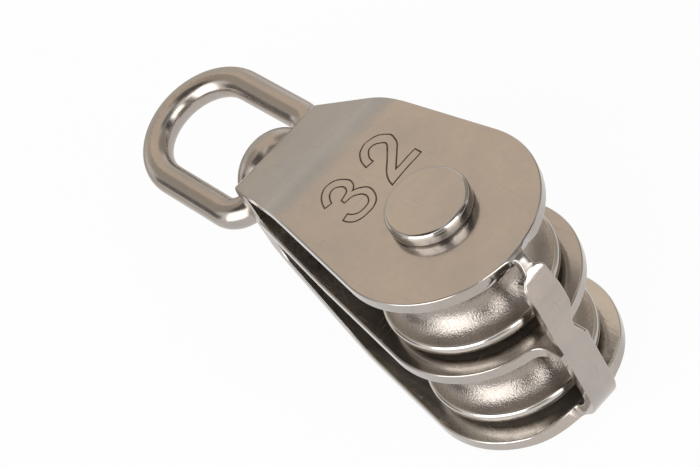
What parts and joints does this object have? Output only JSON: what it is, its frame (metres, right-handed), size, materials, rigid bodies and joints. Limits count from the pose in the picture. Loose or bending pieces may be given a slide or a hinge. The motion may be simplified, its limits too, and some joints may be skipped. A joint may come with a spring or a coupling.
{
  "type": "double swivel block",
  "caption": "Swivel pulley block: grooved sheaves side by side on one axle, in a bent metal strap with a middle plate, folded tie bars and a closed swivel eye.",
  "frame": {"origin": "centre of the lower axle button's flat face, on the sheaves' axis; the block lies on this face", "axes": "+Z along the axle, through the lower cheek to the upper one; +X from the axle towards the tie bars; the swivel eye is at -X; +Y completes a right-handed frame"},
  "size_m": [0.1145, 0.0372, 0.0486],
  "materials": {
    "strap": "polished, a little worn",
    "plate": "polished, a little worn",
    "axle": "polished",
    "sheave": "satin, with turned bright rims",
    "bush": "turned, oiled",
    "washer": "turned",
    "eye": "polished forging"
  },
  "bodies": {
    "frame": {"outer_strap": "strap", "middle_plate": "plate", "axle_pin": "axle", "axle_button": "axle", "upper_outer_washer": "washer", "upper_inner_washer": "washer", "lower_inner_washer": "washer", "lower_outer_washer": "washer"},
    "upper_wheel": {"upper_sheave": "sheave", "upper_bush": "bush"},
    "lower_wheel": {"lower_sheave": "sheave", "lower_bush": "bush"},
    "eye": {"swivel_eye": "eye", "swivel_pin": "axle", "swivel_washer": "washer"}
  },
  "joints": [
    {"name": "upper_sheave_spin", "type": "hinge", "parent": "frame", "child": "upper_wheel", "pos_m": [0, 0, 0.0344], "axis": [0, 0, 1], "continuous": true},
    {"name": "lower_sheave_spin", "type": "hinge", "parent": "frame", "child": "lower_wheel", "pos_m": [0, 0, 0.0142], "axis": [0, 0, 1], "continuous": true},
    {"name": "eye_swivel", "type": "hinge", "parent": "frame", "child": "eye", "pos_m": [-0.0513, 0, 0.0243], "axis": [1, 0, 0], "continuous": true}
  ]
}
